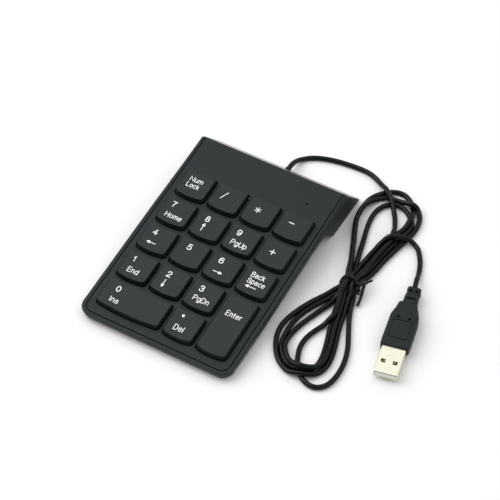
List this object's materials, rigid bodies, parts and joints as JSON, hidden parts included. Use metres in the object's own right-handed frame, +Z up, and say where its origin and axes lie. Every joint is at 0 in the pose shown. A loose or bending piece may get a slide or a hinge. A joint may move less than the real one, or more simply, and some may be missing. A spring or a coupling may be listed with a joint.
{
  "type": "numeric keypad",
  "caption": "Slim wired numeric keypad: sprung keys on crossed links in a tilted case with a slanted foot bar, and a cord folded in a tied hank with a plug.",
  "frame": {"origin": "on the desk, under the middle of the case's footprint", "axes": "+Z up; the user sits at -Y, so the keypad's raised rear is at +Y; +X to the user's right"},
  "size_m": [0.1559, 0.1573, 0.0186],
  "materials": {
    "charcoal_plastic": "fine satin moulding grain",
    "key_plastic": "fine satin moulding grain",
    "rubber": "matt",
    "dome_silicone": "translucent grey",
    "membrane_film": "clear film with printed tracks",
    "plated_steel": "bright plating",
    "link_plastic": "natural white",
    "board_green": "green solder mask",
    "chip_black": "matt",
    "indicator_lens": "clear green",
    "cord_jacket": "satin",
    "tie_plastic": "satin",
    "tongue_plastic": "white"
  },
  "bodies": {
    "housing": {"top_cover": "charcoal_plastic", "bottom_case": "charcoal_plastic", "scissor_num_lock": "link_plastic", "scissor_divide": "link_plastic", "scissor_multiply": "link_plastic", "scissor_minus": "link_plastic", "scissor_seven": "link_plastic", "scissor_eight": "link_plastic", "scissor_nine": "link_plastic", "scissor_plus": "link_plastic", "scissor_four": "link_plastic", "scissor_five": "link_plastic", "scissor_six": "link_plastic", "scissor_backspace": "link_plastic", "scissor_one": "link_plastic", "scissor_two": "link_plastic", "scissor_three": "link_plastic", "scissor_enter": "link_plastic", "scissor_zero": "link_plastic", "scissor_decimal": "link_plastic", "dome_sheet": "dome_silicone", "membrane": "membrane_film", "backplate": "plated_steel", "circuit_board": "board_green", "controller_chip": "chip_black", "indicator_led": "indicator_lens", "screw_front_left": "plated_steel", "screw_front_right": "plated_steel", "screw_rear_left": "plated_steel", "screw_rear_right": "plated_steel", "foot_front_left": "rubber", "foot_front_right": "rubber", "foot_rear_left": "rubber", "foot_rear_right": "rubber", "strain_relief": "rubber", "cord_lead": "cord_jacket", "cord_hank": "cord_jacket", "cord_tail": "cord_jacket", "twist_tie": "tie_plastic", "plug_grip": "cord_jacket", "plug_shell": "plated_steel", "plug_tongue": "tongue_plastic"},
    "key_num_lock": {"key_num_lock": "key_plastic"},
    "key_divide": {"key_divide": "key_plastic"},
    "key_multiply": {"key_multiply": "key_plastic"},
    "key_minus": {"key_minus": "key_plastic"},
    "key_seven": {"key_seven": "key_plastic"},
    "key_eight": {"key_eight": "key_plastic"},
    "key_nine": {"key_nine": "key_plastic"},
    "key_plus": {"key_plus": "key_plastic"},
    "key_four": {"key_four": "key_plastic"},
    "key_five": {"key_five": "key_plastic"},
    "key_six": {"key_six": "key_plastic"},
    "key_backspace": {"key_backspace": "key_plastic"},
    "key_one": {"key_one": "key_plastic"},
    "key_two": {"key_two": "key_plastic"},
    "key_three": {"key_three": "key_plastic"},
    "key_enter": {"key_enter": "key_plastic"},
    "key_zero": {"key_zero": "key_plastic"},
    "key_decimal": {"key_decimal": "key_plastic"}
  },
  "joints": [
    {"name": "press_num_lock", "type": "slide", "parent": "housing", "child": "key_num_lock", "axis": [0, 0.1115, -0.9938], "range_m": [0, 0.0016], "stiffness_N_per_m": 350, "springref_m": -0.0005, "deforming": ["scissor_num_lock", "dome_sheet"]},
    {"name": "press_divide", "type": "slide", "parent": "housing", "child": "key_divide", "axis": [0, 0.1115, -0.9938], "range_m": [0, 0.0016], "stiffness_N_per_m": 350, "springref_m": -0.0005, "deforming": ["scissor_divide", "dome_sheet"]},
    {"name": "press_multiply", "type": "slide", "parent": "housing", "child": "key_multiply", "axis": [0, 0.1115, -0.9938], "range_m": [0, 0.0016], "stiffness_N_per_m": 350, "springref_m": -0.0005, "deforming": ["scissor_multiply", "dome_sheet"]},
    {"name": "press_minus", "type": "slide", "parent": "housing", "child": "key_minus", "axis": [0, 0.1115, -0.9938], "range_m": [0, 0.0016], "stiffness_N_per_m": 350, "springref_m": -0.0005, "deforming": ["scissor_minus", "dome_sheet"]},
    {"name": "press_seven", "type": "slide", "parent": "housing", "child": "key_seven", "axis": [0, 0.1115, -0.9938], "range_m": [0, 0.0016], "stiffness_N_per_m": 350, "springref_m": -0.0005, "deforming": ["scissor_seven", "dome_sheet"]},
    {"name": "press_eight", "type": "slide", "parent": "housing", "child": "key_eight", "axis": [0, 0.1115, -0.9938], "range_m": [0, 0.0016], "stiffness_N_per_m": 350, "springref_m": -0.0005, "deforming": ["scissor_eight", "dome_sheet"]},
    {"name": "press_nine", "type": "slide", "parent": "housing", "child": "key_nine", "axis": [0, 0.1115, -0.9938], "range_m": [0, 0.0016], "stiffness_N_per_m": 350, "springref_m": -0.0005, "deforming": ["scissor_nine", "dome_sheet"]},
    {"name": "press_plus", "type": "slide", "parent": "housing", "child": "key_plus", "axis": [0, 0.1115, -0.9938], "range_m": [0, 0.0016], "stiffness_N_per_m": 350, "springref_m": -0.0005, "deforming": ["scissor_plus", "dome_sheet"]},
    {"name": "press_four", "type": "slide", "parent": "housing", "child": "key_four", "axis": [0, 0.1115, -0.9938], "range_m": [0, 0.0016], "stiffness_N_per_m": 350, "springref_m": -0.0005, "deforming": ["scissor_four", "dome_sheet"]},
    {"name": "press_five", "type": "slide", "parent": "housing", "child": "key_five", "axis": [0, 0.1115, -0.9938], "range_m": [0, 0.0016], "stiffness_N_per_m": 350, "springref_m": -0.0005, "deforming": ["scissor_five", "dome_sheet"]},
    {"name": "press_six", "type": "slide", "parent": "housing", "child": "key_six", "axis": [0, 0.1115, -0.9938], "range_m": [0, 0.0016], "stiffness_N_per_m": 350, "springref_m": -0.0005, "deforming": ["scissor_six", "dome_sheet"]},
    {"name": "press_backspace", "type": "slide", "parent": "housing", "child": "key_backspace", "axis": [0, 0.1115, -0.9938], "range_m": [0, 0.0016], "stiffness_N_per_m": 350, "springref_m": -0.0005, "deforming": ["scissor_backspace", "dome_sheet"]},
    {"name": "press_one", "type": "slide", "parent": "housing", "child": "key_one", "axis": [0, 0.1115, -0.9938], "range_m": [0, 0.0016], "stiffness_N_per_m": 350, "springref_m": -0.0005, "deforming": ["scissor_one", "dome_sheet"]},
    {"name": "press_two", "type": "slide", "parent": "housing", "child": "key_two", "axis": [0, 0.1115, -0.9938], "range_m": [0, 0.0016], "stiffness_N_per_m": 350, "springref_m": -0.0005, "deforming": ["scissor_two", "dome_sheet"]},
    {"name": "press_three", "type": "slide", "parent": "housing", "child": "key_three", "axis": [0, 0.1115, -0.9938], "range_m": [0, 0.0016], "stiffness_N_per_m": 350, "springref_m": -0.0005, "deforming": ["scissor_three", "dome_sheet"]},
    {"name": "press_enter", "type": "slide", "parent": "housing", "child": "key_enter", "axis": [0, 0.1115, -0.9938], "range_m": [0, 0.0016], "stiffness_N_per_m": 350, "springref_m": -0.0005, "deforming": ["scissor_enter", "dome_sheet"]},
    {"name": "press_zero", "type": "slide", "parent": "housing", "child": "key_zero", "axis": [0, 0.1115, -0.9938], "range_m": [0, 0.0016], "stiffness_N_per_m": 350, "springref_m": -0.0005, "deforming": ["scissor_zero", "dome_sheet"]},
    {"name": "press_decimal", "type": "slide", "parent": "housing", "child": "key_decimal", "axis": [0, 0.1115, -0.9938], "range_m": [0, 0.0016], "stiffness_N_per_m": 350, "springref_m": -0.0005, "deforming": ["scissor_decimal", "dome_sheet"]}
  ]
}
